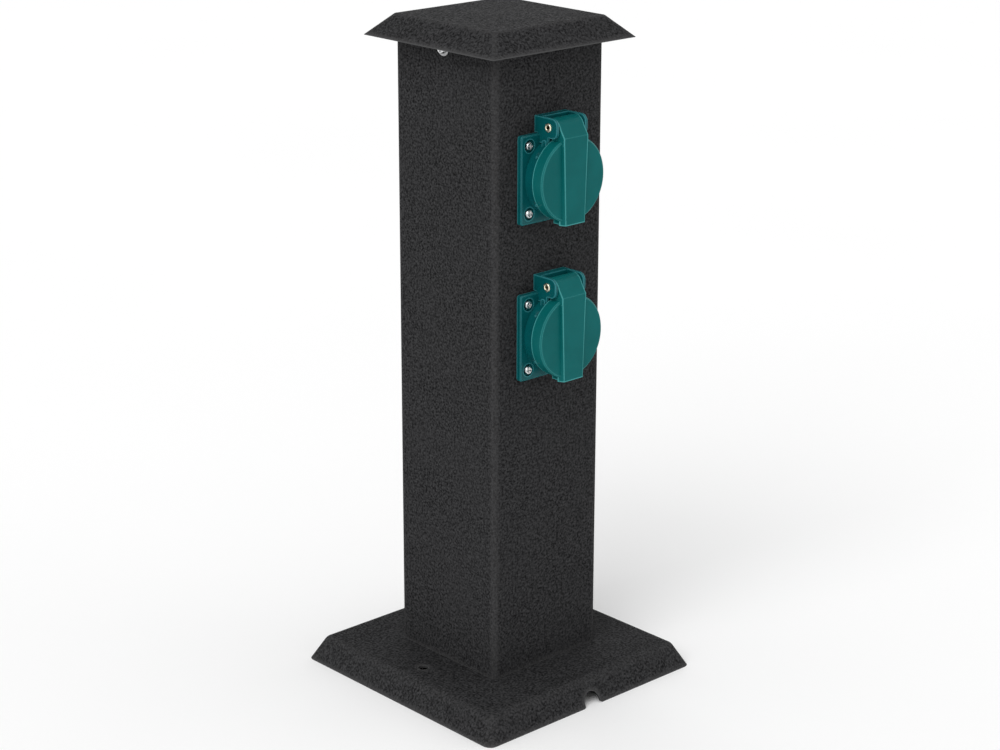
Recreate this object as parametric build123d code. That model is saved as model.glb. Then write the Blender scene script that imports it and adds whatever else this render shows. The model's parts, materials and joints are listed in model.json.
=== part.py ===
from build123d import *
from math import atan2, cos, degrees, pi, radians, sin, tan
import os

os.makedirs("parts", exist_ok=True)

# Garden socket post: a square sheet steel column on a pan shaped foot, under a hat shaped cap.
# It stands on z = 0 with its foot centred on x = y = 0, and its two sockets face -Y.

# Column
column_width = 82.0
column_sheet = 1.2
column_corner = 3.0
column_head_gap = 0.7
foot_tab_width = 30.0
foot_tab_length = 14.0
foot_hole_inset = 7.0

# Base pan
base_width = 164.0
base_height = 14.8
base_lean = 7.4
base_sheet = 1.5
base_bend = 5.5
base_corner = 6.0
anchor_spacing = 120.0
anchor_hole_radius = 3.0
notch_radius = 6.0
notch_height = 7.8
notch_mouth_radius = 1.5

# Cap
overall_height = 393.0
cap_rim_reach = 12.9
cap_top_reach = 0.4
cap_drop = 12.3
cap_sheet = 1.2
cap_bend = 2.2
cap_corner = 2.4
bracket_width = 40.0
bracket_sheet = 1.5
bracket_leg = 20.0
bracket_bend = 2.5
cap_screw_drop = 14.0

# Post fasteners
cap_screw_radius = 2.0
cap_screw_length = 8.0
cap_head_radius = 3.4
cap_head_height = 2.2
cap_washer_radius = 4.5
cap_washer_thickness = 0.8
foot_screw_radius = 2.5
foot_screw_length = 10.0
foot_head_radius = 4.6
foot_head_height = 2.8
foot_nut_flats = 8.0
foot_nut_height = 4.0

# Cable inlet
grommet_bore = 4.75
grommet_waist = 10.0
grommet_lip = 13.0
grommet_lip_height = 3.0

# Socket places
socket_pitch = 90.0
upper_socket_drop = 83.5

# Socket housing, sizes along d are counted out from the column's face
flange_width = 50.0
flange_corner = 1.5
flange_edge = 0.6
flange_front = 4.0
gasket_thickness = 0.8
barrel_radius = 22.2
barrel_front = 16.5
barrel_edge = 0.5
recess_radius = 19.5
recess_depth = 17.5
key_width = 4.0
key_height = 1.3
key_front = 12.0
sleeve_radius = 21.4
sleeve_depth = 16.0
screw_pitch = 38.0
screw_recess_radius = 3.75
screw_recess_depth = 1.4

# Hinge block of the housing
block_half_width = 11.6
block_top = 34.5
block_front = 17.5
block_bottom = 23.5
block_step_front = 10.8
block_step_bottom = 20.0
block_top_corner = 4.0
block_bottom_corner = 3.3
block_back_wall = 4.4
cheek = 1.6
rib_width = 1.2
rib_front = 10.4
rib_round = 1.7
rib_top = 22.3
pin_front = 10.9
pin_height = 29.2
pin_radius = 1.9
pin_bore = 1.2
pin_rim_radius = 2.5
pin_rim_thickness = 0.35

# Lid
lid_radius = 23.8
lid_back = 11.3
lid_front = 18.9
lid_face = 1.6
lid_edge = 0.7
band_front = 20.8
band_top = 24.1
band_bottom = 24.8
band_low_half_width = 7.2
tab_back = 11.0
arm_bend_front = 18.0
arm_bend_height = 28.3
arm_head_front = 15.9
arm_head_height = 32.7
arm_head_round = 5.4
arm_foot = 20.0
knuckle_radius = 4.9
knuckle_boss = 0.7
seal_thickness = 0.5
seal_width = 4.0
lid_lift = 0.25

# Lid spring
spring_wire = 0.6
spring_radius = 2.75
spring_pitch = 1.25
spring_turns = 3
spring_leg = 3.4
pocket_half_width = 5.0
pocket_radius = 3.7

# Contacts
pin_spacing = 19.0
pin_hole_radius = 2.65
insert_thickness = 14.0
insert_floor = 3.2
contact_radius = 3.4
contact_bore = 2.5
terminal_width = 7.5
terminal_height = 8.0
terminal_depth = 6.0
clip_width = 6.0
clip_sheet = 0.8
clip_reach = 17.4
clip_bulge = 15.4
clip_front = 12.0
clip_bulge_front = 7.0
clip_neck_front = 1.5
clip_bend = 1.2
cover_depth = 8.0
cover_wall = 1.5
wire_hole_radius = 2.2
earth_hole_radius = 3.7
cover_screw_circle = 16.0
cover_boss_radius = 3.0

# Socket fasteners
flange_screw_radius = 1.75
flange_screw_length = 12.0
flange_head_radius = 2.8
flange_head_height = 2.0
flange_nut_flats = 6.0
flange_nut_height = 2.8
cover_screw_radius = 1.3
cover_screw_length = 14.0
cover_head_radius = 2.4
cover_head_height = 1.5
terminal_screw_radius = 1.5
terminal_screw_length = 4.0
terminal_head_radius = 2.2
terminal_head_height = 1.6
cross_width = 0.75
cross_share = 0.56
crown_share = 0.74
cross_depth_share = 0.6

# Wires and the earth stud
wire_radius = 1.4
bend_share = 0.45
wire_fan = 1.7
link_depth_share = 0.34
link_step_share = 0.26
link_mouth_share = 0.66
link_belly_share = 1.12
stud_radius = 2.5
stud_length = 12.0
stud_drop = 70.0
ring_radius = 4.8
ring_sheet = 0.8
crimp_radius = 2.0
crimp_length = 8.0
crimp_gap = 3.0
stud_washer_radius = 5.0
stud_washer_thickness = 1.0
stud_nut_flats = 8.0
stud_nut_height = 4.0

# Places along the earth bond wire: sideways, towards the stud's wall, and down
bond_shares = ((0, 0.28, 0), (1.5, 0.60, 0.22), (1.2, 0.90, 0.48), (0, 1, 0.74))

# Fits and the overrun of every cut
pin_clearance = 0.05
knuckle_clearance = 0.08
hinge_side_gap = 0.3
skirt_gap = 0.45
sweep_gap = 0.4
cutout_gap = 0.6
screw_gap = 0.15
thread_gap = 0.05
insert_gap = 0.15
slot_gap = 0.3
overrun = 1.0

# Shanks, holes and heads that nothing shows have few sides, which keeps the many fasteners light
plain_sides = 12
wire_sides = 6
spring_sides = 4

# Places worked out from the sizes above
face_y = -column_width / 2
inner_half = column_width / 2 - column_sheet
column_top = overall_height - cap_sheet - column_head_gap
cap_width = column_width + 2 * cap_rim_reach
rim_height = overall_height - cap_drop
cap_screw_height = overall_height - cap_screw_drop
upper_socket_height = overall_height - upper_socket_drop
lower_socket_height = upper_socket_height - socket_pitch
stud_height = lower_socket_height - stud_drop
foot_hole_place = inner_half - foot_hole_inset
cutout_radius = sleeve_radius + cutout_gap
recess_floor = barrel_front - recess_depth
insert_back = recess_floor - insert_thickness
terminal_back = insert_back - terminal_depth
cover_back = -sleeve_depth - cover_depth
knuckle_half_width = block_half_width - cheek - hinge_side_gap
band_half_width = knuckle_half_width - knuckle_boss
skirt_bore = barrel_radius + skirt_gap
lid_inside = lid_front - lid_face
pin_spot = (pin_front, pin_height)
insert_radius = recess_radius - insert_gap

written = {}


def save(name, *solids):
    """Keep one node: a single solid, or several like pieces that stay separate."""
    shape = solids[0] if len(solids) == 1 else Compound(children=list(solids))
    shape.label = name
    written[name] = shape
    export_step(shape, f"parts/{name}.step")


def rod(radius, low, high, x=0, y=0):
    """A round bar along z from low to high."""
    return Pos(x, y, low) * Cylinder(radius, high - low, align=(Align.CENTER, Align.CENTER, Align.MIN))


def plain_rod(radius, low, high, x=0, y=0):
    """A round bar like rod, with few sides, for what nothing shows."""
    return Pos(x, y, low) * extrude(RegularPolygon(radius, plain_sides), high - low)


def block(x_low, x_high, y_low, y_high, z_low, z_high):
    """A box between two corners."""
    size = (x_high - x_low, y_high - y_low, z_high - z_low)
    middle = ((x_low + x_high) / 2, (y_low + y_high) / 2, (z_low + z_high) / 2)
    return Pos(*middle) * Box(*size)


def hexagon(flats, height, hole):
    """A nut that stands on z = 0."""
    nut = extrude(RegularPolygon(flats / 2, 6, major_radius=False), height)
    return nut - plain_rod(hole, -overrun, height + overrun)


def washer(radius, hole, thickness):
    """A flat ring that lies on z = 0."""
    return rod(radius, 0, thickness) - plain_rod(hole, -overrun, thickness + overrun)


def plain_screw(head_radius, head_height, shank_radius, shank_length):
    """A hidden screw: its head stands on z = 0 and its shank hangs below."""
    return plain_rod(head_radius, 0, head_height) + plain_rod(shank_radius, -shank_length, 0)


def cross_screw(head_radius, head_height, shank_radius, shank_length):
    """A pan head screw with a cross recess: its head stands on z = 0 and its shank hangs below."""
    bottom = (Align.CENTER, Align.CENTER, Align.MIN)
    head = Cone(head_radius, head_radius * crown_share, head_height, align=bottom)
    screw = head + plain_rod(shank_radius, -shank_length, 0)
    floor = head_height * (1 - cross_depth_share)
    arm = head_radius * cross_share
    for long_x, long_y in ((arm, cross_width / 2), (cross_width / 2, arm)):
        screw -= block(-long_x, long_x, -long_y, long_y, floor, head_height + overrun)
    return screw


def bent_strip(points, bend, width, sheet, width_direction):
    """A flat strip folded along the points, which follow the middle of its thickness."""
    path = FilletPolyline(*points, radius=bend)
    start = Plane(origin=path @ 0, x_dir=width_direction, z_dir=path % 0)
    return sweep(start * Rectangle(width, sheet), path)


def mound(width, height, taper, corner, bend):
    """A solid square block on z = 0 with leaning sides, round corners and a round bend on top."""
    solid = extrude(Rectangle(width, width), height, taper=taper)
    solid = fillet(solid.edges().group_by(Axis.Z)[1], corner)
    return fillet(solid.faces().sort_by(Axis.Z)[-1].edges(), bend)


def tray(width, height, lean, sheet, corner, bend):
    """A square pressed tray, open below, with leaning sides and its rim on z = 0."""
    slope = atan2(lean, height)
    taper = degrees(slope)
    outer = mound(width, height, taper, corner, bend)
    inside = width - 2 * sheet / cos(slope) + 2 * overrun * tan(slope)
    inner = mound(inside, height - sheet + overrun, taper, corner - sheet, bend - sheet)
    return outer - Pos(0, 0, -overrun) * inner


def wire(name, points):
    """A round insulated wire on straight runs joined by the largest tangent arcs they allow."""
    corners = [Vector(*point) for point in points]
    runs = [b - a for a, b in zip(corners, corners[1:])]
    radii = []
    for before, after in zip(runs, runs[1:]):
        turn = radians(before.get_angle(after))
        radii.append(bend_share * min(before.length, after.length) / tan(turn / 2))
    path = FilletPolyline(*points, radius=radii)
    start = Plane(origin=path @ 0, z_dir=path % 0)
    section = RegularPolygon(wire_radius, wire_sides)
    tube = sweep(start * section, path)
    full = section.area * path.length
    print(f"{name}: length {path.length:.1f}, bend radii", [round(radius, 1) for radius in radii])
    print(f"{name}: volume over section times length {tube.volume / full:.4f}")
    return tube


def base_pan():
    """The foot: a shallow tray with anchor holes, the cable notch and the cable inlet hole."""
    pan = tray(base_width, base_height, base_lean, base_sheet, base_corner, base_bend)
    for side in (-1, 1):
        pan -= rod(anchor_hole_radius, 0, base_height + overrun, x=side * anchor_spacing / 2)
        pan -= plain_rod(foot_screw_radius + screw_gap, 0, base_height + overrun, x=side * foot_hole_place)
        pan -= plain_rod(foot_screw_radius + screw_gap, 0, base_height + overrun, y=side * foot_hole_place)
    pan -= rod(grommet_waist, 0, base_height + overrun)
    arch = notch_height - notch_radius
    mouth = notch_radius + notch_mouth_radius
    flare = Pos(0, notch_mouth_radius / 2) * Rectangle(2 * mouth, notch_mouth_radius)
    for side in (-1, 1):
        flare -= Pos(side * mouth, notch_mouth_radius) * Circle(notch_mouth_radius)
    outline = Pos(0, arch) * Circle(notch_radius)
    outline += Pos(0, arch / 2) * Rectangle(2 * notch_radius, arch) + flare
    outline += Pos(0, -overrun / 2) * Rectangle(2 * mouth, overrun)
    opening = extrude(Plane.XZ * outline, base_width / 2 + overrun)
    return pan - (opening - block(-mouth, mouth, -base_width / 4, base_width, -overrun, base_height))


def column():
    """The square tube with its foot tabs, socket cut-outs and screw holes."""
    outline = RectangleRounded(column_width, column_width, column_corner)
    outline -= RectangleRounded(2 * inner_half, 2 * inner_half, column_corner - column_sheet)
    tube = Pos(0, 0, base_height) * extrude(outline, column_top - base_height)
    tab_top = base_height + column_sheet
    for turn in (0, 90, 180, 270):
        tab = block(
            inner_half - foot_tab_length,
            inner_half + column_sheet / 2,
            -foot_tab_width / 2,
            foot_tab_width / 2,
            base_height,
            tab_top,
        )
        tab -= plain_rod(foot_screw_radius + screw_gap, 0, tab_top + overrun, x=foot_hole_place)
        tube += Rot(0, 0, turn) * tab
    for side in (-1, 1):
        place = Pos(side * column_width / 2, 0, cap_screw_height) * Rot(0, 90, 0)
        tube -= place * plain_rod(cap_screw_radius + screw_gap, -2 * column_sheet, 2 * column_sheet)
    for height in (upper_socket_height, lower_socket_height):
        seat = socket_plane(height)
        depth = column_sheet + overrun
        tube -= seat * rod(cutout_radius, -depth, overrun)
        for x, y in flange_screw_places():
            tube -= seat * plain_rod(flange_screw_radius + screw_gap, -depth, overrun, x, y)
    return tube


def socket_plane(height):
    """The column's face at one socket: x stays x, y points up and z points out of the face."""
    return Location(Plane(origin=(0, face_y, height), x_dir=(1, 0, 0), z_dir=(0, -1, 0)))


def flange_screw_places():
    """The four corners of the flange's screw square."""
    half = screw_pitch / 2
    return [(x, y) for x in (-half, half) for y in (-half, half)]


def cap():
    """The hat: a shallow tray whose sides slope out over the column."""
    lean = cap_rim_reach - cap_top_reach
    return Pos(0, 0, rim_height) * tray(cap_width, cap_drop, lean, cap_sheet, cap_corner, cap_bend)


def cap_bracket():
    """The strap under the hat, whose legs hang inside the column and take the cap screws."""
    top = overall_height - cap_sheet - bracket_sheet / 2
    reach = inner_half - slot_gap - bracket_sheet / 2
    low = top - bracket_leg
    points = [(-reach, 0, low), (-reach, 0, top), (reach, 0, top), (reach, 0, low)]
    strap = bent_strip(points, bracket_bend, bracket_width, bracket_sheet, (0, 1, 0))
    hole = plain_rod(cap_screw_radius + thread_gap, -column_width, column_width)
    return strap - Pos(0, 0, cap_screw_height) * Rot(0, 90, 0) * hole


def cap_fixing(side):
    """The place of one cap screw on the column's side, with z pointing out of the side."""
    plane = Plane(origin=(side * column_width / 2, 0, cap_screw_height), x_dir=(0, 1, 0), z_dir=(side, 0, 0))
    return Location(plane)


def inlet_grommet():
    """The rubber ring in the pan's top, where the supply cable enters the column."""
    low = base_height - base_sheet
    profile = Polygon(
        (grommet_bore, low - grommet_lip_height),
        (grommet_waist, low - grommet_lip_height),
        (grommet_lip, low),
        (grommet_waist - screw_gap, low),
        (grommet_waist - screw_gap, base_height),
        (grommet_lip, base_height),
        (grommet_waist, base_height + grommet_lip_height),
        (grommet_bore, base_height + grommet_lip_height),
        align=None,
    )
    return revolve(Plane.XZ * profile, Axis.Z)


# Side view of a socket: x runs out of the column's face and y runs up
side_view = Plane(origin=(0, 0, 0), x_dir=(0, 0, 1), z_dir=(-1, 0, 0))


def across(outline, half_width):
    """A side view outline made as wide as the hinge part it belongs to."""
    return extrude(side_view * outline, half_width, both=True)


def pin_rod(radius, half_length):
    """A round bar on the hinge pin's axis."""
    return across(Pos(*pin_spot) * Circle(radius), half_length)


def near(outline, spot):
    """The outline's corner nearest to the spot."""
    return outline.vertices().sort_by_distance((*spot, 0))[0]


def hinge_block():
    """The block over the barrel whose two cheeks hold the lid's pin."""
    foot = (flange_front + gasket_thickness) / 2
    above_flange = flange_width / 2 + hinge_side_gap
    outline = Polygon(
        (0, above_flange),
        (0, block_top),
        (block_front, block_top),
        (block_front, block_bottom),
        (block_step_front, block_bottom),
        (block_step_front, block_step_bottom),
        (foot, block_step_bottom),
        (foot, above_flange),
        align=None,
    )
    outline = fillet(near(outline, (block_front, block_top)), block_top_corner)
    outline = fillet(near(outline, (block_front, block_bottom)), block_bottom_corner)
    body = across(outline, block_half_width)
    inner = block_half_width - cheek
    body -= block(-inner, inner, 0, block_top + overrun, block_back_wall, block_front + overrun)
    rib_middle = rib_front - rib_round
    rib_crown = rib_top - rib_round
    rib = Pos(rib_middle, rib_crown) * Circle(rib_round)
    rib += Pos(rib_middle, rib_crown / 2) * Rectangle(2 * rib_round, rib_crown)
    ribs = across(rib, block_half_width + rib_width) - across(rib, barrel_radius / 2)
    body += ribs & block(-flange_width, flange_width, barrel_radius / 2, rib_top, 0, block_front)
    return body - pin_rod(pin_radius + pin_clearance, block_half_width + overrun)


def socket_housing():
    """The moulding seen from outside: flange, barrel, plug recess, hinge block and rear sleeve."""
    outline = RectangleRounded(flange_width, flange_width, flange_corner)
    flange = extrude(outline, flange_front - gasket_thickness)
    flange = chamfer(flange.faces().sort_by(Axis.Z)[-1].edges(), flange_edge)
    flange = Pos(0, 0, gasket_thickness) * flange
    barrel = rod(barrel_radius, gasket_thickness, barrel_front)
    barrel = chamfer(barrel.edges().sort_by(Axis.Z)[-1], barrel_edge)
    body = flange + barrel + rod(sleeve_radius, -sleeve_depth, flange_front) + hinge_block()
    body -= rod(recess_radius, -sleeve_depth - overrun, barrel_front + overrun)
    key_inside = recess_radius - key_height
    key_root = (recess_radius + barrel_radius) / 2
    for side in (-1, 1):
        key_low, key_high = sorted((side * key_inside, side * key_root))
        body += block(key_low, key_high, -key_width / 2, key_width / 2, recess_floor, key_front)
    head_seat = flange_front - screw_recess_depth
    for x, y in flange_screw_places():
        body -= plain_rod(flange_screw_radius + screw_gap, 0, flange_front + overrun, x, y)
        body -= plain_rod(screw_recess_radius, head_seat, flange_front + overrun, x, y)
    return body


def socket_gasket():
    """The soft sheet between the flange and the column's face."""
    sheet = extrude(RectangleRounded(flange_width, flange_width, flange_corner), gasket_thickness)
    sheet -= rod(cutout_radius, -overrun, gasket_thickness + overrun)
    for x, y in flange_screw_places():
        sheet -= plain_rod(flange_screw_radius + screw_gap, -overrun, gasket_thickness + overrun, x, y)
    return sheet


def arm_outline():
    """Side view of the lid's arm, from the raised band back to the knuckle round the pin."""
    outline = Polygon(
        (band_front, arm_foot),
        (band_front, band_top),
        (arm_bend_front, arm_bend_height),
        (arm_head_front, arm_head_height),
        (pin_front + hinge_side_gap, pin_height + knuckle_radius),
        pin_spot,
        (lid_back, arm_foot),
        align=None,
    )
    return fillet(near(outline, (arm_head_front, arm_head_height)), arm_head_round)


def socket_lid():
    """The sprung lid: a cup over the barrel, a raised band down its face and the hinged arm."""
    cup = rod(lid_radius, lid_back, lid_front)
    cup = chamfer(cup.edges().sort_by(Axis.Z)[-1], lid_edge)
    low, high = -band_bottom, band_top
    base = Polygon(
        (-band_half_width, low),
        (band_half_width, low),
        (band_half_width, high),
        (-band_half_width, high),
        align=None,
    )
    front = Polygon(
        (-band_low_half_width, low),
        (band_low_half_width, low),
        (band_half_width, high),
        (-band_half_width, high),
        align=None,
    )
    band = loft([Pos(0, 0, lid_inside) * base, Pos(0, 0, band_front) * front], ruled=True)
    tab = block(-band_low_half_width, band_low_half_width, low, -skirt_bore, tab_back, lid_front)
    arm = across(arm_outline(), band_half_width) + pin_rod(knuckle_radius, knuckle_half_width)
    lid = cup + band + tab + arm
    lid -= rod(skirt_bore, 0, lid_inside)
    lid -= pin_rod(pin_radius + knuckle_clearance, block_half_width)
    lid -= pin_rod(pocket_radius, pocket_half_width)
    lid -= block(
        -pocket_half_width,
        pocket_half_width,
        lid_radius + lid_lift,
        pin_height,
        0,
        pin_front + pocket_radius,
    )
    reach = cheek_reach() + sweep_gap
    sweep_room = pin_rod(reach, block_half_width + sweep_gap) - pin_rod(reach + overrun, knuckle_half_width)
    return lid - sweep_room


def cheek_reach():
    """How far the cheek's lower front corner lies from the pin."""
    across_front = block_front - block_bottom_corner - pin_front
    down = pin_height - block_bottom - block_bottom_corner
    return (across_front**2 + down**2) ** (1 / 2) + block_bottom_corner


def lid_seal():
    """The flat rubber ring in the lid that closes on the barrel's rim."""
    outer = skirt_bore - insert_gap
    ring = rod(outer, lid_inside - seal_thickness, lid_inside)
    return ring - rod(outer - seal_width, lid_inside - seal_thickness - overrun, lid_inside + overrun)


def hinge_pin():
    """The tubular rivet through both cheeks, with its rolled rims outside them."""
    length = block_half_width + pin_rim_thickness
    pin = pin_rod(pin_radius, length)
    pin += pin_rod(pin_rim_radius, length) - pin_rod(pin_rim_radius + overrun, block_half_width)
    return pin - pin_rod(pin_bore, length + overrun)


def biarc(start, start_way, end, end_way):
    """Two arcs that leave start and reach end along the given directions."""
    span = end - start
    both = start_way + end_way
    a = both.dot(both) - 4
    b = -2 * span.dot(both)
    c = span.dot(span)
    reach = (-b - (b * b - 4 * a * c) ** (1 / 2)) / (2 * a)
    meet = (start + start_way * reach + end - end_way * reach) / 2
    first = TangentArc(start, meet, tangent=start_way)
    return [first, TangentArc(meet, end, tangent=first % 1)]


def spring_route():
    """Legs and coil of the torsion spring: the coil winds along the pin."""
    rise = spring_pitch / (2 * pi)
    slow = (spring_radius**2 + rise**2) ** (1 / 2)
    start_x = -spring_pitch * spring_turns / 2

    def spot(angle):
        return Vector(
            start_x + rise * angle,
            pin_height - spring_radius * cos(angle),
            pin_front + spring_radius * sin(angle),
        )

    def way(angle):
        return Vector(rise / slow, spring_radius * sin(angle) / slow, spring_radius * cos(angle) / slow)

    quarters = 4 * spring_turns + 3
    last = quarters * pi / 2
    stops = [step * pi for step in range(2 * spring_turns + 2)] + [last]
    arcs = []
    for begin, end in zip(stops, stops[1:]):
        arcs += biarc(spot(begin), way(begin), spot(end), way(end))
    rear_leg = Line(spot(0) - way(0) * spring_leg, spot(0))
    end_way = way(last)
    lid_leg = Line(spot(last), spot(last) + end_way * spring_leg)
    points = [spot(pi / 12 * step) for step in range(24 * spring_turns)]
    gaps = [(a - b).length for i, a in enumerate(points) for b in points[i + 12:]]
    print(f"lid spring: least gap between turns {min(gaps) - spring_wire:.2f}")
    return Wire([rear_leg] + arcs + [lid_leg])


def lid_spring():
    """The torsion spring that shuts the lid: one leg on the block, one inside the lid's arm."""
    path = spring_route()
    start = Plane(origin=path @ 0, z_dir=path % 0)
    section = RegularPolygon(spring_wire / 2, spring_sides)
    coil = sweep(start * section, path)
    full = section.area * path.length
    print(f"lid spring: volume over section times length {coil.volume / full:.4f}")
    return coil


def socket_insert():
    """The contact carrier at the bottom of the recess, with the two pin holes."""
    body = rod(insert_radius, insert_back, recess_floor)
    for side in (-1, 1):
        x = side * pin_spacing / 2
        body -= rod(pin_hole_radius, insert_back - overrun, recess_floor + overrun, x)
        body -= plain_rod(contact_radius + insert_gap, insert_back - overrun, recess_floor - insert_floor, x)
        clip_inside = clip_reach - clip_sheet / 2 - clip_bend
        slot_low, slot_high = sorted((side * clip_inside, side * recess_radius))
        half = clip_width / 2 + slot_gap
        body -= block(-half, half, slot_low, slot_high, insert_back - overrun, recess_floor + overrun)
    thread_end = insert_back + cover_screw_length / 2
    for x, y in cover_screw_places():
        body -= plain_rod(cover_screw_radius + thread_gap, insert_back - overrun, thread_end, x, y)
    return body


def cover_screw_places():
    """Two opposite spots on the rear cover."""
    reach = cover_screw_circle * cos(radians(45))
    return [(reach, reach), (-reach, -reach)]


def line_contact(side):
    """One brass pin sleeve with the terminal block behind it."""
    x = side * pin_spacing / 2
    body = plain_rod(contact_radius, insert_back - thread_gap, recess_floor - insert_floor - thread_gap, x)
    body += block(
        x - terminal_width / 2,
        x + terminal_width / 2,
        -terminal_height / 2,
        terminal_height / 2,
        terminal_back,
        insert_back - thread_gap,
    )
    body -= plain_rod(contact_bore, insert_back, recess_floor, x)
    return body - terminal_thread(x)


def terminal_thread(x):
    """The hole that takes one terminal screw, from the top of its block."""
    hole = plain_rod(terminal_screw_radius + thread_gap, -terminal_screw_length - thread_gap, overrun)
    return terminal_top(x) * hole


def terminal_top(x):
    """The top of one terminal block, with z pointing up out of it."""
    middle = terminal_back + terminal_head_radius + slot_gap
    return Location(Plane(origin=(x, terminal_height / 2, middle), x_dir=(1, 0, 0), z_dir=(0, 1, 0)))


def earth_clip():
    """The bow that runs behind the insert and lines the recess at top and bottom."""
    back = insert_back - clip_sheet / 2 - thread_gap
    leg = clip_reach - clip_sheet / 2
    half_bow = [
        (0, leg, back),
        (0, leg, clip_neck_front),
        (0, clip_bulge, clip_bulge_front),
        (0, leg, clip_front),
    ]
    points = [(x, -y, z) for x, y, z in reversed(half_bow)] + half_bow
    bow = bent_strip(points, clip_bend, clip_width, clip_sheet, (1, 0, 0))
    bow += block(
        -terminal_width / 2 + clip_sheet,
        terminal_width / 2 - clip_sheet,
        -terminal_height / 2,
        terminal_height / 2,
        terminal_back,
        back,
    )
    return bow - terminal_thread(0)


def rear_cover():
    """The cup that closes the back of the socket, with holes for the wires."""
    body = rod(sleeve_radius, cover_back, -sleeve_depth)
    body -= plain_rod(sleeve_radius - cover_wall, cover_back + cover_wall, -sleeve_depth + overrun)
    outside = cover_back - overrun
    inside = cover_back + cover_wall + overrun
    for x, y in cover_screw_places():
        body += plain_rod(cover_boss_radius, cover_back, insert_back - thread_gap, x, y)
        body -= plain_rod(cover_screw_radius + screw_gap, outside, insert_back + overrun, x, y)
    for side in (-1, 1):
        body -= plain_rod(wire_hole_radius, outside, inside, side * pin_spacing / 2)
    return body - plain_rod(earth_hole_radius, outside, inside)


def socket(prefix, height):
    """All the pieces of one socket, placed on the column's face at the given height."""
    seat = socket_plane(height)
    save(f"{prefix}_housing", seat * socket_housing())
    save(f"{prefix}_gasket", seat * socket_gasket())
    save(f"{prefix}_insert", seat * socket_insert())
    save(f"{prefix}_line_contacts", *[seat * line_contact(side) for side in (-1, 1)])
    save(f"{prefix}_earth_clip", seat * earth_clip())
    save(f"{prefix}_rear_cover", seat * rear_cover())
    save(f"{prefix}_hinge_pin", seat * hinge_pin())
    save(f"{prefix}_lid_spring", seat * lid_spring())
    save(f"{prefix}_lid", seat * socket_lid())
    save(f"{prefix}_lid_seal", seat * lid_seal())
    flange_screw = cross_screw(
        flange_head_radius,
        flange_head_height,
        flange_screw_radius,
        flange_screw_length,
    )
    head_seat = flange_front - screw_recess_depth
    nut = hexagon(flange_nut_flats, flange_nut_height, flange_screw_radius + thread_gap)
    nut_seat = -column_sheet - flange_nut_height
    spots = flange_screw_places()
    save(f"{prefix}_flange_screws", *[seat * Pos(x, y, head_seat) * flange_screw for x, y in spots])
    save(f"{prefix}_flange_nuts", *[seat * Pos(x, y, nut_seat) * nut for x, y in spots])
    cover_screw = plain_screw(cover_head_radius, cover_head_height, cover_screw_radius, cover_screw_length)
    turned = Rot(180, 0, 0) * cover_screw
    spots = cover_screw_places()
    save(f"{prefix}_cover_screws", *[seat * Pos(x, y, cover_back) * turned for x, y in spots])
    clamp = plain_screw(
        terminal_head_radius,
        terminal_head_height,
        terminal_screw_radius,
        terminal_screw_length,
    )
    places = [terminal_top(x) for x in (-pin_spacing / 2, 0, pin_spacing / 2)]
    save(f"{prefix}_terminal_screws", *[seat * place * clamp for place in places])


def link_points(x, rise, bow):
    """Route of one wire from the upper socket's terminal down to the lower socket's."""
    start = face_y - terminal_back
    top = upper_socket_height + rise
    low = lower_socket_height + rise
    deep = column_width * link_depth_share
    step = socket_pitch * link_step_share
    return [
        (x, start, top),
        (x, start + deep * link_mouth_share, top),
        (x + bow, start + deep, top - step),
        (x + 2 * bow, start + deep * link_belly_share, (top + low) / 2),
        (x + bow, start + deep, low + step),
        (x, start + deep * link_mouth_share, low),
        (x, start, low),
    ]


def bond_points():
    """Route of the wire from the lower socket's earth terminal to the ring on the stud."""
    start = face_y - terminal_back
    top = lower_socket_height - wire_fan
    end = stud_height + ring_radius + crimp_gap + crimp_length
    reach = inner_half - crimp_radius - start
    drop = top - end
    points = [(0, start, top)]
    for side_share, reach_share, drop_share in bond_shares:
        points.append((wire_fan * side_share, start + reach * reach_share, top - drop * drop_share))
    return points + [(0, start + reach, end)]


def earth_ring():
    """The crimped ring under the earth nut, with its barrel above it."""
    wall = inner_half
    flat = plain_rod(ring_radius, 0, ring_sheet)
    flat -= plain_rod(stud_radius + screw_gap, -overrun, ring_sheet + overrun)
    ring = Pos(0, wall, stud_height) * Rot(90, 0, 0) * flat
    low = stud_height + stud_radius + screw_gap + ring_sheet
    high = stud_height + ring_radius + crimp_gap
    tongue = block(-crimp_radius, crimp_radius, wall - ring_sheet, wall, low, high + ring_sheet)
    barrel = plain_rod(crimp_radius, high, high + crimp_length, 0, wall - crimp_radius)
    return ring + tongue + barrel


save("base_pan", base_pan())
save("column", column())
save("cap", cap())
save("cap_bracket", cap_bracket())
save("inlet_grommet", inlet_grommet())

cap_screw = cross_screw(cap_head_radius, cap_head_height, cap_screw_radius, cap_screw_length)
cap_washer = washer(cap_washer_radius, cap_screw_radius + screw_gap, cap_washer_thickness)
save("cap_screws", *[cap_fixing(side) * Pos(0, 0, cap_washer_thickness) * cap_screw for side in (-1, 1)])
save("cap_washers", *[cap_fixing(side) * cap_washer for side in (-1, 1)])

foot_spots = [(foot_hole_place, 0), (0, foot_hole_place), (-foot_hole_place, 0), (0, -foot_hole_place)]
foot_screw = plain_screw(foot_head_radius, foot_head_height, foot_screw_radius, foot_screw_length)
foot_screw = Rot(180, 0, 0) * foot_screw
foot_nut = hexagon(foot_nut_flats, foot_nut_height, foot_screw_radius + thread_gap)
save("foot_screws", *[Pos(x, y, base_height - base_sheet) * foot_screw for x, y in foot_spots])
save("foot_nuts", *[Pos(x, y, base_height + column_sheet) * foot_nut for x, y in foot_spots])

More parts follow.
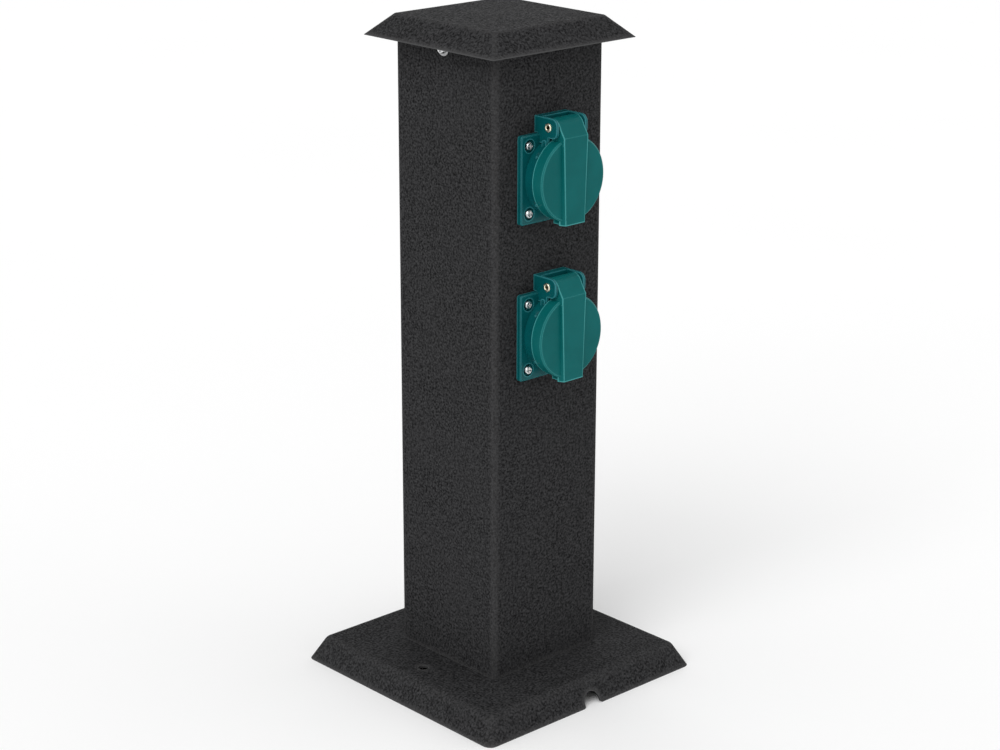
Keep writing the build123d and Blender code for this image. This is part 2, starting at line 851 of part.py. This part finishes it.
stud_place = Pos(0, inner_half, stud_height) * Rot(90, 0, 0)
stud_washer = plain_rod(stud_washer_radius, 0, stud_washer_thickness)
stud_washer -= plain_rod(stud_radius + screw_gap, -overrun, stud_washer_thickness + overrun)
stud_nut = hexagon(stud_nut_flats, stud_nut_height, stud_radius + thread_gap)
save("earth_stud", stud_place * plain_rod(stud_radius, 0, stud_length))
save("earth_ring", earth_ring())
save("earth_washer", stud_place * Pos(0, 0, ring_sheet) * stud_washer)
save("earth_nut", stud_place * Pos(0, 0, ring_sheet + stud_washer_thickness) * stud_nut)

socket("upper", upper_socket_height)
socket("lower", lower_socket_height)

save("live_link_wire", wire("live link", link_points(-pin_spacing / 2, 0, -wire_fan)))
save("neutral_link_wire", wire("neutral link", link_points(pin_spacing / 2, 0, wire_fan)))
save("earth_link_wire", wire("earth link", link_points(0, wire_fan, wire_fan / 2)))
save("earth_bond_wire", wire("earth bond", bond_points()))

print(len(written), "nodes written")
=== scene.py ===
import json
import math

import bmesh
import bpy
from mathutils import Matrix, Vector


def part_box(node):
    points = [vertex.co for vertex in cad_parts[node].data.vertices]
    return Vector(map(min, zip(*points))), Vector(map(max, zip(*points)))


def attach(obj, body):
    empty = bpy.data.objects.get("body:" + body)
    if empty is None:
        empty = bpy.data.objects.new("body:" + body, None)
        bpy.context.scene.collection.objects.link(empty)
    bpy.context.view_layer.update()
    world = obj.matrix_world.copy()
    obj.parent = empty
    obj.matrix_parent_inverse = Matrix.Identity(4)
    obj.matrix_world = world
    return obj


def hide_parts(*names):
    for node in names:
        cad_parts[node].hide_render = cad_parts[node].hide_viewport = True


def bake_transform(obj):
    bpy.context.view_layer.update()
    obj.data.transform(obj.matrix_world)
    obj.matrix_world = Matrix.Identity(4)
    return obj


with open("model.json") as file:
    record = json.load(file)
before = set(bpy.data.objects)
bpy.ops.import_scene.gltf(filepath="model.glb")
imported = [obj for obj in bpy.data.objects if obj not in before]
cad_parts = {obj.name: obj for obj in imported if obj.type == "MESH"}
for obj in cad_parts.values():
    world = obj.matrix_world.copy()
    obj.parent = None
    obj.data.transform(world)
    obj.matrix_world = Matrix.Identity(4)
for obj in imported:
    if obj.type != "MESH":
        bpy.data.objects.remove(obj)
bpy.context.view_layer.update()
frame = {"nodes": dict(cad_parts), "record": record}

MM = 0.001
SIDES = ("upper", "lower")

# Camera, fitted to the corners of the post in the photograph
view_azimuth = math.radians(-42.64)
view_elevation = math.radians(18.33)
view_roll = math.radians(0.098)
view_distance = 1.36765
aim_height = 0.18233
aim_side = 0.00062
view_lens = 84.694
sensor_width = 36.0
far_limit = 50.0

# Light: a white sky and three soft lamps
sky_level = 0.7
key_strength = 1.2
key_direction = (-1.0, -0.35, 1.0)
key_spread = math.radians(38)
fill_strength = 0.25
fill_direction = (1.0, -0.75, 0.55)
fill_spread = math.radians(60)
top_strength = 0.2
top_direction = (0.2, 0.6, 0.85)
top_spread = math.radians(30)
lamp_height = 1.0

# Floor
floor_size = 14.0
floor_tone = 0.96
floor_mottle = 0.01
floor_cloud_scale = 3
floor_roughness = 0.9
floor_specular = 0.1

# Edge rounding of the parts from the CAD
sheet_edge = 0.18 * MM
moulded_edge = 0.38 * MM
hardware_edge = 0.14 * MM
edge_segments = 2
edge_angle = math.radians(28)
weld_distance = 0.002 * MM
normal_weight = 60

# Clip nubs on the side of each barrel, between the flange and the lid's skirt
barrel_radius = 22.2 * MM
nub_angle = math.radians(37)
nub_radius = 1.1 * MM
nub_height = 0.95 * MM
nub_out = 8.5 * MM
nub_segments = 20
dome_rings = 4

# Rolled rim at each end of the tubular hinge pins
rim_inner = 1.25 * MM
rim_outer = 2.35 * MM
rim_height = 0.4 * MM
rim_sunk = 0.1 * MM
rim_segments = 32
rim_steps = 6

# Lid springs, wound round their pins: one leg points at the block's back, the other lies inside the lid's arm
wire_radius = 0.3 * MM
coil_radius = 2.75 * MM
coil_pitch = 1.25 * MM
coil_turns = 3.75
coil_start = -1.875 * MM
leg_length = 3.4 * MM
wire_sides = 10
steps_per_turn = 24

# Powder coat; the scales of all finishes are in features per metre
coat_pit = (0.007, 0.007, 0.0073)
coat_speck = (0.053, 0.053, 0.0548)
coat_haze = (0.036, 0.036, 0.037)
# Painted highlight: a paler band along the coat's bends
coat_bend_highlight = (0.068, 0.067, 0.068)
# Painted highlight: a paler line along the coat's sheet edges
coat_edge_highlight = (0.068, 0.068, 0.069)
coat_haze_share = 0.2
coat_bend_share = 0.5
coat_bend_reach = 4.0 * MM
coat_edge_reach = 0.7 * MM
coat_specular = 0.006
coat_dull = 0.66
coat_sheen = 0.42
coat_grain_scale = 760
coat_grain_depth = 0.2 * MM
coat_fine_scale = 2600
coat_fine_depth = 0.05 * MM
coat_haze_scale = 22

# Moulded plastic
# Reach of the painted highlight along the edges of the mouldings
plastic_edge_reach = 0.8 * MM
plastic_flow_scale = 60
plastic_smear_scale = 260
plastic_grain_scale = 1900
plastic_grain_depth = 0.05 * MM
plastic_smoother = 0.06
plastic_rougher = 0.08

# Metal
metal_mottle_scale = 320
metal_grain_depth = 0.04 * MM
metal_smoother = 0.08
metal_rougher = 0.1

# Rubber and the sheaths of the wires
rubber_roughness = 0.72
rubber_specular = 0.3
rubber_bloom_scale = 140
rubber_grain_scale = 1500
rubber_grain_depth = 0.05 * MM
sheath_roughness = 0.5
sheath_specular = 0.4
sheath_green = (0.03, 0.24, 0.05)
sheath_yellow = (0.62, 0.52, 0.03)
sheath_grain_depth = 0.04 * MM
stripe_start = 0.6 * MM
stripe_end = 0.9 * MM


def add_node(tree, kind, **settings):
    """A shader node with its properties set."""
    node = tree.nodes.new(kind)
    for key, value in settings.items():
        setattr(node, key, value)
    return node


def noise(tree, place, scale, detail=2.0, roughness=0.5):
    """A noise texture over the piece's own coordinates."""
    node = add_node(tree, "ShaderNodeTexNoise")
    node.inputs["Scale"].default_value = scale
    node.inputs["Detail"].default_value = detail
    node.inputs["Roughness"].default_value = roughness
    tree.links.new(place, node.inputs["Vector"])
    return node.outputs["Fac"]


def spread(tree, source, low, high, to_low=0.0, to_high=1.0):
    """A value stretched from one range to another and held inside it."""
    node = add_node(tree, "ShaderNodeMapRange")
    node.inputs["From Min"].default_value = low
    node.inputs["From Max"].default_value = high
    node.inputs["To Min"].default_value = to_low
    node.inputs["To Max"].default_value = to_high
    tree.links.new(source, node.inputs["Value"])
    return node.outputs["Result"]


def blend(tree, share, first, second):
    """Two colours mixed by a share; each is a colour or a node's output."""
    node = add_node(tree, "ShaderNodeMix", data_type="RGBA")
    tree.links.new(share, node.inputs["Factor"])
    inputs = [s for s in node.inputs if s.type == "RGBA"]
    for socket, value in zip(inputs, (first, second)):
        if isinstance(value, tuple):
            socket.default_value = (*value, 1.0)
        else:
            tree.links.new(value, socket)
    return [s for s in node.outputs if s.type == "RGBA"][0]


def bump(tree, height, strength, depth, below=None):
    """A bump of the surface, on top of another one if given."""
    node = add_node(tree, "ShaderNodeBump")
    node.inputs["Strength"].default_value = strength
    node.inputs["Distance"].default_value = depth
    tree.links.new(height, node.inputs["Height"])
    if below is not None:
        tree.links.new(below, node.inputs["Normal"])
    return node.outputs["Normal"]


def edge_share(tree, reach, low, high):
    """How near a point is to an outer edge, where the painted edge highlight goes: 0 on flat places and 1 on
    the edges.
    """
    inner = add_node(tree, "ShaderNodeAmbientOcclusion", samples=8, inside=True, only_local=True)
    inner.inputs["Distance"].default_value = reach
    return spread(tree, inner.outputs["AO"], high, low)


def bend_share(tree, reach, low, high, most):
    """How near a point is to a bend in the sheet, where the painted bend highlight goes: 0 on flat places and
    the most on the bend.
    """
    soft = add_node(tree, "ShaderNodeBevel", samples=6)
    soft.inputs["Radius"].default_value = reach
    plain = add_node(tree, "ShaderNodeNewGeometry")
    dot = add_node(tree, "ShaderNodeVectorMath", operation="DOT_PRODUCT")
    tree.links.new(soft.outputs["Normal"], dot.inputs[0])
    tree.links.new(plain.outputs["Normal"], dot.inputs[1])
    return spread(tree, dot.outputs["Value"], high, low, to_high=most)


def start_material(name, metallic=0.0, roughness=0.5, specular=0.5):
    """A new material with its shader and the piece's own coordinates."""
    material = bpy.data.materials.new(name)
    material.use_nodes = True
    tree = material.node_tree
    shader = tree.nodes["Principled BSDF"]
    shader.inputs["Metallic"].default_value = metallic
    shader.inputs["Roughness"].default_value = roughness
    shader.inputs["Specular IOR Level"].default_value = specular
    place = add_node(tree, "ShaderNodeTexCoord").outputs["Object"]
    return material, tree, shader, place


def powder_coat():
    """Near-black textured powder coat: fine wrinkles with a light speckle, and painted highlights paler along
    its bends and edges.
    """
    material, tree, shader, place = start_material("textured_coat", specular=coat_specular)
    grain = noise(tree, place, coat_grain_scale, detail=3.0, roughness=0.65)
    fine = noise(tree, place, coat_fine_scale)
    haze = noise(tree, place, coat_haze_scale, detail=3.0)
    speckled = blend(tree, spread(tree, grain, low=0.36, high=0.66), coat_pit, coat_speck)
    hazed = blend(tree, spread(tree, haze, low=0.38, high=0.64, to_high=coat_haze_share), speckled, coat_haze)
    # Painted highlight along the bends of the sheet
    bends = bend_share(tree, coat_bend_reach, low=0.985, high=0.9995, most=coat_bend_share)
    # Painted highlight along the sheet's edges, such as the rims and the column's foot
    edges = edge_share(tree, coat_edge_reach, low=0.6, high=0.95)
    tone = blend(tree, edges, blend(tree, bends, hazed, coat_bend_highlight), coat_edge_highlight)
    tree.links.new(tone, shader.inputs["Base Color"])
    sheen = spread(tree, grain, low=0.3, high=0.7, to_low=coat_dull, to_high=coat_sheen)
    tree.links.new(sheen, shader.inputs["Roughness"])
    wrinkles = bump(tree, grain, strength=0.75, depth=coat_grain_depth)
    surface = bump(tree, fine, strength=0.3, depth=coat_fine_depth, below=wrinkles)
    tree.links.new(surface, shader.inputs["Normal"])
    return material


def satin_plastic(name, dark, light, edge, roughness, specular):
    """Moulded plastic with a fine spark-eroded grain, faint flow marks and a painted highlight paler along
    its edges.
    """
    material, tree, shader, place = start_material(name, roughness=roughness, specular=specular)
    flow = noise(tree, place, plastic_flow_scale, detail=3.0)
    grain = noise(tree, place, plastic_grain_scale)
    smear = noise(tree, place, plastic_smear_scale, detail=3.0, roughness=0.6)
    base = blend(tree, spread(tree, flow, low=0.36, high=0.66), dark, light)
    # Painted highlight: the edge colour along the moulding's edges
    edges = edge_share(tree, plastic_edge_reach, low=0.76, high=0.94)
    tree.links.new(blend(tree, edges, base, edge), shader.inputs["Base Color"])
    smoothest = roughness - plastic_smoother
    roughest = roughness + plastic_rougher
    sheen = spread(tree, smear, low=0.3, high=0.7, to_low=smoothest, to_high=roughest)
    tree.links.new(sheen, shader.inputs["Roughness"])
    tree.links.new(bump(tree, grain, strength=0.14, depth=plastic_grain_depth), shader.inputs["Normal"])
    return material


def bare_metal(name, dark, light, roughness, grain_scale=1400, grain_strength=0.12):
    """Plated or bare metal with fine scratches and a mottled sheen."""
    material, tree, shader, place = start_material(name, metallic=1.0, roughness=roughness)
    mottle = noise(tree, place, metal_mottle_scale, detail=4.0, roughness=0.6)
    grain = noise(tree, place, grain_scale)
    tone = blend(tree, spread(tree, mottle, low=0.35, high=0.66), dark, light)
    tree.links.new(tone, shader.inputs["Base Color"])
    smoothest = roughness - metal_smoother
    roughest = roughness + metal_rougher
    sheen = spread(tree, mottle, low=0.3, high=0.7, to_low=smoothest, to_high=roughest)
    tree.links.new(sheen, shader.inputs["Roughness"])
    tree.links.new(bump(tree, grain, grain_strength, metal_grain_depth), shader.inputs["Normal"])
    return material


def soft_rubber(name, dark, light):
    """Matt rubber or cable sheath with a dusty bloom."""
    material, tree, shader, place = start_material(name, roughness=rubber_roughness, specular=rubber_specular)
    bloom = noise(tree, place, rubber_bloom_scale, detail=3.0)
    grain = noise(tree, place, rubber_grain_scale)
    tone = blend(tree, spread(tree, bloom, low=0.36, high=0.66), dark, light)
    tree.links.new(tone, shader.inputs["Base Color"])
    tree.links.new(bump(tree, grain, strength=0.2, depth=rubber_grain_depth), shader.inputs["Normal"])
    return material


def striped_wire():
    """Green sheath with a yellow stripe along one side, as on every earth wire."""
    material, tree, shader, place = start_material(
        "earth_sheath", roughness=sheath_roughness, specular=sheath_specular
    )
    split = add_node(tree, "ShaderNodeSeparateXYZ")
    tree.links.new(place, split.inputs["Vector"])
    stripe = spread(tree, split.outputs["X"], stripe_start, stripe_end)
    tree.links.new(blend(tree, stripe, sheath_green, sheath_yellow), shader.inputs["Base Color"])
    grain = noise(tree, place, rubber_grain_scale)
    tree.links.new(bump(tree, grain, strength=0.12, depth=sheath_grain_depth), shader.inputs["Normal"])
    return material


# The edge colours of the plastics are painted highlights
finishes = {
    "black_coat": powder_coat(),
    "green_plastic": satin_plastic(
        "green_moulding",
        dark=(0.001, 0.101, 0.100),
        light=(0.002, 0.118, 0.117),
        edge=(0.06, 0.31, 0.31),
        roughness=0.42,
        specular=0.085,
    ),
    # Same teal plastic as the lids and glossier, with its green darkened as painted shade
    "shaded_green_housing": satin_plastic(
        "shaded_green_housing",
        dark=(0.0005, 0.072, 0.078),
        light=(0.001, 0.088, 0.095),
        edge=(0.03, 0.20, 0.22),
        roughness=0.3,
        specular=0.15,
    ),
    "grey_plastic": satin_plastic(
        "grey_moulding",
        dark=(0.21, 0.22, 0.23),
        light=(0.27, 0.28, 0.29),
        edge=(0.36, 0.37, 0.38),
        roughness=0.45,
        specular=0.4,
    ),
    "zinc": bare_metal(
        "bright_zinc",
        dark=(0.58, 0.59, 0.60),
        light=(0.84, 0.84, 0.83),
        roughness=0.26,
    ),
    "dull_zinc": bare_metal(
        "dull_zinc",
        dark=(0.28, 0.28, 0.29),
        light=(0.42, 0.42, 0.42),
        roughness=0.34,
    ),
    "galvanised": bare_metal(
        "galvanised_sheet",
        dark=(0.42, 0.43, 0.44),
        light=(0.60, 0.61, 0.62),
        roughness=0.42,
        grain_scale=700,
        grain_strength=0.18,
    ),
    "brass": bare_metal(
        "pale_brass",
        dark=(0.84, 0.78, 0.58),
        light=(0.95, 0.91, 0.76),
        roughness=0.32,
        grain_strength=0.10,
    ),
    "spring_steel": bare_metal(
        "drawn_wire",
        dark=(0.40, 0.40, 0.41),
        light=(0.58, 0.58, 0.59),
        roughness=0.32,
        grain_scale=1800,
    ),
    "black_rubber": soft_rubber("black_rubber", dark=(0.012, 0.012, 0.012), light=(0.024, 0.024, 0.025)),
    "brown_wire": soft_rubber("brown_sheath", dark=(0.14, 0.055, 0.02), light=(0.22, 0.09, 0.035)),
    "blue_wire": soft_rubber("blue_sheath", dark=(0.02, 0.09, 0.36), light=(0.04, 0.14, 0.48)),
    "green_yellow_wire": striped_wire(),
}


def soften_edges(obj, width):
    """Rounds the sharp edges of a part and keeps its flat faces flat in the light."""
    weld = obj.modifiers.new("weld", "WELD")
    weld.merge_threshold = weld_distance
    rounding = obj.modifiers.new("rounding", "BEVEL")
    rounding.width = width
    rounding.segments = edge_segments
    rounding.limit_method = "ANGLE"
    rounding.angle_limit = edge_angle
    rounding.miter_outer = "MITER_ARC"
    rounding.use_clamp_overlap = True
    for polygon in obj.data.polygons:
        polygon.use_smooth = True
    normals = obj.modifiers.new("normals", "WEIGHTED_NORMAL")
    normals.mode = "FACE_AREA"
    normals.weight = normal_weight


# Every part from the CAD keeps its place and gets its finish, and what shows at rest gets softened edges
edge_of_slot = {"black_coat": sheet_edge, "green_plastic": moulded_edge, "zinc": hardware_edge}
slot_of_node = {row["node"]: row["material_slot"] for row in frame["record"]["subparts"]}
finish_of_kind = {"housing": "shaded_green_housing", "washers": "dull_zinc"}
hidden_words = ("insert", "nuts", "cover_screws", "terminal_screws", "earth", "foot_screws")
for name, obj in frame["nodes"].items():
    slot = slot_of_node[name]
    obj.data.materials.clear()
    obj.data.materials.append(finishes[finish_of_kind.get(name.rpartition("_")[2], slot)])
    if slot in edge_of_slot and not any(word in name for word in hidden_words):
        soften_edges(obj, edge_of_slot[slot])


def link_object(name, data):
    """A new object in the scene that shows a mesh, a lamp or a camera."""
    obj = bpy.data.objects.new(name, data)
    bpy.context.scene.collection.objects.link(obj)
    return obj


def mesh_object(name, mesh):
    """A new object from a finished mesh."""
    data = bpy.data.meshes.new(name)
    mesh.to_mesh(data)
    mesh.free()
    return link_object(name, data)


def facing(direction, spot):
    """A place whose z axis points along the direction."""
    turn = Vector(direction).normalized().to_track_quat("Z", "Y").to_matrix().to_4x4()
    return Matrix.Translation(spot) @ turn


def join_rings(mesh, rings):
    """Faces between each ring of vertices and the one after it."""
    for low, high in zip(rings, rings[1:]):
        for step in range(len(low)):
            after = (step + 1) % len(low)
            mesh.faces.new((low[step], low[after], high[after], high[step]))


def lathe(name, outline, segments, place):
    """A solid turned about its own z axis from an outline of radii and heights.

    An outline that ends on the axis gives a dome with a flat foot, and any other gives a closed ring.
    """
    mesh = bmesh.new()
    rings = []
    is_ring = outline[-1][0] > 0
    for radius, height in outline if is_ring else outline[:-1]:
        ring = []
        for step in range(segments):
            turn = 2 * math.pi * step / segments
            ring.append(mesh.verts.new((radius * math.cos(turn), radius * math.sin(turn), height)))
        rings.append(ring)
    if is_ring:
        join_rings(mesh, rings + rings[:1])
    else:
        join_rings(mesh, rings)
        tip = mesh.verts.new((0, 0, outline[-1][1]))
        for step in range(segments):
            mesh.faces.new((rings[-1][step], rings[-1][(step + 1) % segments], tip))
        mesh.faces.new(list(reversed(rings[0])))
    obj = mesh_object(name, mesh)
    for polygon in obj.data.polygons:
        polygon.use_smooth = True
    obj.matrix_world = place
    return obj


def dome(radius, height, sunk):
    """Outline of a low dome whose foot is sunk into what carries it."""
    points = [(radius, -sunk)]
    for step in range(dome_rings):
        rise = math.pi / 2 * step / dome_rings
        points.append((radius * math.cos(rise), height * math.sin(rise)))
    points.append((0.0, height))
    return points


def rolled_rim():
    """Outline of the rounded ring that a rivet's end is rolled into."""
    middle = (rim_inner + rim_outer) / 2
    half = (rim_outer - rim_inner) / 2
    points = [(rim_outer, -rim_sunk)]
    for step in range(rim_steps + 1):
        turn = math.pi * step / rim_steps
        points.append((middle + half * math.cos(turn), rim_height * math.sin(turn)))
    points.append((rim_inner, -rim_sunk))
    return points


def add_nubs(side):
    """Four clip nubs round one barrel, set out from the column's face behind its gasket."""
    low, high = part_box(f"{side}_gasket")
    centre = Vector(((low.x + high.x) / 2, high.y - nub_out, (low.z + high.z) / 2))
    outline = dome(nub_radius, nub_height, nub_radius)
    for left_right, along in (("left", -1), ("right", 1)):
        for low_high, up in (("low", -1), ("high", 1)):
            way = Vector((along * math.cos(nub_angle), 0, up * math.sin(nub_angle)))
            place = facing(way, centre + way * barrel_radius)
            nub = lathe(f"{side}_{left_right}_{low_high}_nub", outline, nub_segments, place)
            nub.data.materials.append(finishes["shaded_green_housing"])
            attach(nub, "post")


def add_pin_rims(side):
    """The rolled rims at both ends of one hinge pin."""
    low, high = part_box(f"{side}_hinge_pin")
    middle = (low + high) / 2
    for word, along, end in (("left", -1, low.x), ("right", 1, high.x)):
        place = facing((along, 0, 0), Vector((end, middle.y, middle.z)))
        rim = lathe(f"{side}_{word}_pin_rim", rolled_rim(), rim_segments, place)
        rim.data.materials.append(finishes["brass"])
        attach(rim, "post")


def spring_wire(name, pin):
    """The wire of a torsion spring, swept along one leg, the coil round the pin and the other leg."""
    rise = coil_pitch / (2 * math.pi)
    steps = round(coil_turns * steps_per_turn)
    angles = [2 * math.pi * step / steps_per_turn for step in range(steps + 1)]
    stations = [(angle, 0.0) for angle in angles]
    stations.insert(0, (angles[0], -leg_length))
    stations.append((angles[-1], leg_length))
    mesh = bmesh.new()
    rings = []
    for angle, shift in stations:
        outward = Vector((0, -math.sin(angle), -math.cos(angle)))
        along = Vector((rise, -coil_radius * math.cos(angle), coil_radius * math.sin(angle))).normalized()
        across = along.cross(outward)
        middle = pin + Vector((coil_start + rise * angle, 0, 0)) + outward * coil_radius + along * shift
        ring = []
        for step in range(wire_sides):
            turn = 2 * math.pi * step / wire_sides
            reach = wire_radius * (outward * math.cos(turn) + across * math.sin(turn))
            ring.append(mesh.verts.new(middle + reach))
        rings.append(ring)
    join_rings(mesh, rings)
    mesh.faces.new(list(reversed(rings[0])))
    mesh.faces.new(rings[-1])
    obj = mesh_object(name, mesh)
    for polygon in obj.data.polygons:
        polygon.use_smooth = len(polygon.vertices) == 4
    return obj


def add_lid_spring(side):
    """One lid's spring, wound round its pin."""
    low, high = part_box(f"{side}_hinge_pin")
    pin = (low + high) / 2
    spring = spring_wire(f"{side}_spring_wire", pin)
    spring.data.materials.append(finishes["spring_steel"])
    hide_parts(f"{side}_lid_spring")
    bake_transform(spring)


for side in SIDES:
    add_nubs(side)
for side in SIDES:
    add_pin_rims(side)
for side in SIDES:
    add_lid_spring(side)


def add_floor():
    """The pale floor under the post."""
    half = floor_size / 2
    corners = ((-half, -half), (half, -half), (half, half), (-half, half))
    mesh = bmesh.new()
    mesh.faces.new([mesh.verts.new((x, y, 0)) for x, y in corners])
    obj = mesh_object("floor", mesh)
    material, tree, shader, place = start_material(
        "pale_floor", roughness=floor_roughness, specular=floor_specular
    )
    cloud = noise(tree, place, floor_cloud_scale)
    tones = [(tone, tone, tone) for tone in (floor_tone - floor_mottle, floor_tone + floor_mottle)]
    tree.links.new(blend(tree, cloud, *tones), shader.inputs["Base Color"])
    obj.data.materials.append(material)


def add_sun(name, direction, strength, spread_angle):
    """A soft distant lamp that shines from the direction."""
    lamp = bpy.data.lights.new(name, "SUN")
    lamp.energy = strength
    lamp.angle = spread_angle
    link_object(name, lamp).matrix_world = facing(direction, Vector((0, 0, lamp_height)))


def add_sky():
    """A sky that lights at its level, and is white where it is seen, mirrored or looked at through a part."""
    world = bpy.data.worlds.new("studio")
    bpy.context.scene.world = world
    world.use_nodes = True
    tree = world.node_tree
    backdrop = tree.nodes["Background"]
    backdrop.inputs["Color"].default_value = (1.0, 1.0, 1.0, 1.0)
    ray = add_node(tree, "ShaderNodeLightPath")
    seen = ray.outputs["Is Camera Ray"]
    for kind in ("Is Glossy Ray", "Is Transmission Ray"):
        total = add_node(tree, "ShaderNodeMath", operation="ADD", use_clamp=True)
        tree.links.new(seen, total.inputs[0])
        tree.links.new(ray.outputs[kind], total.inputs[1])
        seen = total.outputs["Value"]
    strength = spread(tree, seen, low=0.0, high=1.0, to_low=sky_level)
    tree.links.new(strength, backdrop.inputs["Strength"])


def add_camera():
    """The camera, which looks from its distance at a point close to the post's axis."""
    flat = math.cos(view_elevation)
    away = Vector((math.sin(view_azimuth) * flat, -math.cos(view_azimuth) * flat, math.sin(view_elevation)))
    sideways = Vector((math.cos(view_azimuth), math.sin(view_azimuth), 0))
    upward = away.cross(sideways)
    right = sideways * math.cos(view_roll) + upward * math.sin(view_roll)
    top = upward * math.cos(view_roll) - sideways * math.sin(view_roll)
    data = bpy.data.cameras.new("camera")
    data.lens = view_lens
    data.sensor_width = sensor_width
    data.clip_end = far_limit
    camera = link_object("camera", data)
    turned = Matrix((right, top, away)).transposed().to_4x4()
    eye = Vector((0, 0, aim_height)) + away * view_distance + sideways * aim_side
    camera.matrix_world = Matrix.Translation(eye) @ turned
    return camera


add_floor()
add_sun("key", key_direction, key_strength, key_spread)
add_sun("fill", fill_direction, fill_strength, fill_spread)
add_sun("top", top_direction, top_strength, top_spread)
add_sky()
bpy.context.scene.camera = add_camera()
bpy.context.scene.view_settings.view_transform = "Standard"
